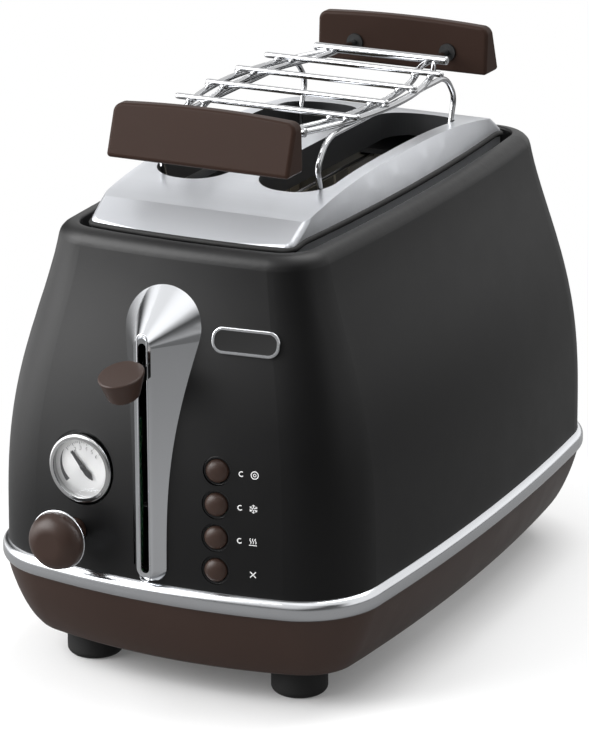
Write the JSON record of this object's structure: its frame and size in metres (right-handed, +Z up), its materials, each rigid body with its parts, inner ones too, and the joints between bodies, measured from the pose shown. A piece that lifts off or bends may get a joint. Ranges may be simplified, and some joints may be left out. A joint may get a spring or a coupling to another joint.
{
  "type": "retro toaster",
  "caption": "Retro toaster for two slices, with a side lever, push buttons, a browning knob with a gauge, a pull-out crumb tray and a lift-off wire bun rack.",
  "frame": {"origin": "on the table, under the middle of the whole outline", "axes": "+Z up, -Y out of the front with the lever and controls, +X to the right seen from the front"},
  "size_m": [0.1892, 0.3296, 0.2478],
  "materials": {
    "black_plastic": "fine matt texture",
    "black_steel": "matt black enamel",
    "brown_plastic": "satin chocolate brown",
    "brushed_steel": "brushed",
    "chrome": "polished",
    "circuit_board": "solder mask",
    "dark_needle": "dark grey",
    "dial_face": "printed silver dial",
    "heating_wire": "resistance ribbon",
    "lens": "clear window",
    "mica": "layered mica sheet",
    "plated_steel": "zinc plated",
    "polished_steel": "polished steel wire",
    "rubber": "soft black"
  },
  "bodies": {
    "toaster_body": {"badge_plate": "brushed_steel", "base_tub": "brown_plastic", "body_shell": "black_steel", "bottom_plate": "plated_steel", "browning_pot": "plated_steel", "button_frame": "black_plastic", "chrome_band": "chrome", "circuit_board": "circuit_board", "control_board": "circuit_board", "cord_grommet": "rubber", "feet": "black_plastic", "front_end_plate": "plated_steel", "gauge_bezel": "chrome", "gauge_cup": "black_plastic", "gauge_dial": "dial_face", "gauge_lens": "lens", "guide_rod": "polished_steel", "heat_shield_left": "plated_steel", "heat_shield_right": "plated_steel", "heating_ribbon_left_inner": "heating_wire", "heating_ribbon_left_outer": "heating_wire", "heating_ribbon_right_inner": "heating_wire", "heating_ribbon_right_outer": "heating_wire", "hold_magnet": "plated_steel", "lever_trim": "chrome", "mica_board_left_inner": "mica", "mica_board_left_outer": "mica", "mica_board_right_inner": "mica", "mica_board_right_outer": "mica", "rear_end_plate": "plated_steel", "return_spring": "plated_steel", "top_panel": "brushed_steel", "top_surround": "black_plastic"},
    "carriage": {"bread_carriage": "plated_steel", "lifter_left": "plated_steel", "lifter_right": "plated_steel", "lever_arm": "black_steel", "lever_knob": "brown_plastic", "keeper_plate": "plated_steel"},
    "browning_knob": {"browning_knob": "brown_plastic", "knob_ring": "chrome"},
    "gauge_needle": {"gauge_needle": "dark_needle"},
    "crumb_tray": {"crumb_tray": "brushed_steel", "tray_handle": "black_plastic"},
    "bun_rack": {"rack_rods": "polished_steel", "rack_cross_wires": "polished_steel", "rack_rails": "polished_steel", "rack_legs": "polished_steel", "rack_handle_front": "brown_plastic", "rack_handle_rear": "brown_plastic", "rack_sockets": "rubber"},
    "bread_guide_left_outer": {"bread_guide_left_outer": "polished_steel"},
    "bread_guide_left_inner": {"bread_guide_left_inner": "polished_steel"},
    "bread_guide_right_inner": {"bread_guide_right_inner": "polished_steel"},
    "bread_guide_right_outer": {"bread_guide_right_outer": "polished_steel"},
    "cancel_button": {"cancel_button": "brown_plastic"},
    "reheat_button": {"reheat_button": "brown_plastic"},
    "defrost_button": {"defrost_button": "brown_plastic"},
    "bagel_button": {"bagel_button": "brown_plastic"}
  },
  "joints": [
    {"name": "lever_slide", "type": "slide", "parent": "toaster_body", "child": "carriage", "axis": [0, 0, 1], "range_m": [-0.078, 0], "stiffness_N_per_m": 60, "springref_m": 0.08, "deforming": ["return_spring"]},
    {"name": "guide_slide_left_outer", "type": "slide", "parent": "toaster_body", "child": "bread_guide_left_outer", "axis": [1, 0, 0], "range_m": [0, 0.005]},
    {"name": "guide_slide_left_inner", "type": "slide", "parent": "toaster_body", "child": "bread_guide_left_inner", "axis": [-1, 0, 0], "range_m": [0, 0.005]},
    {"name": "guide_slide_right_inner", "type": "slide", "parent": "toaster_body", "child": "bread_guide_right_inner", "axis": [1, 0, 0], "range_m": [0, 0.005]},
    {"name": "guide_slide_right_outer", "type": "slide", "parent": "toaster_body", "child": "bread_guide_right_outer", "axis": [-1, 0, 0], "range_m": [0, 0.005]},
    {"name": "cancel_button_press", "type": "slide", "parent": "toaster_body", "child": "cancel_button", "axis": [-0.1036, 0.9939, -0.0382], "range_m": [0, 0.0025], "stiffness_N_per_m": 400},
    {"name": "reheat_button_press", "type": "slide", "parent": "toaster_body", "child": "reheat_button", "axis": [-0.1036, 0.9939, -0.0382], "range_m": [0, 0.0025], "stiffness_N_per_m": 400},
    {"name": "defrost_button_press", "type": "slide", "parent": "toaster_body", "child": "defrost_button", "axis": [-0.1036, 0.9939, -0.0382], "range_m": [0, 0.0025], "stiffness_N_per_m": 400},
    {"name": "bagel_button_press", "type": "slide", "parent": "toaster_body", "child": "bagel_button", "axis": [-0.1036, 0.9939, -0.0382], "range_m": [0, 0.0025], "stiffness_N_per_m": 400},
    {"name": "knob_turn", "type": "hinge", "parent": "toaster_body", "child": "browning_knob", "pos_m": [-0.037, -0.12891, 0.0716], "axis": [-0.0349, -0.9994, 0], "range_deg": [-87, 183]},
    {"name": "needle_turn", "type": "hinge", "parent": "toaster_body", "child": "gauge_needle", "pos_m": [-0.0342, -0.12817, 0.0993], "axis": [-0.0349, -0.9994, 0], "range_deg": [-29, 61]},
    {"name": "tray_slide", "type": "slide", "parent": "toaster_body", "child": "crumb_tray", "axis": [0, 1, 0], "range_m": [0, 0.18]},
    {"name": "rack_lift", "type": "slide", "parent": "toaster_body", "child": "bun_rack", "axis": [0, 0, 1], "range_m": [0, 0.08]}
  ],
  "couplings": [
    {"joint": "guide_slide_left_outer", "follows": "lever_slide", "ratio": -0.0641},
    {"joint": "guide_slide_left_inner", "follows": "lever_slide", "ratio": -0.0641},
    {"joint": "guide_slide_right_inner", "follows": "lever_slide", "ratio": -0.0641},
    {"joint": "guide_slide_right_outer", "follows": "lever_slide", "ratio": -0.0641},
    {"joint": "needle_turn", "follows": "knob_turn", "ratio": 0.33333}
  ]
}
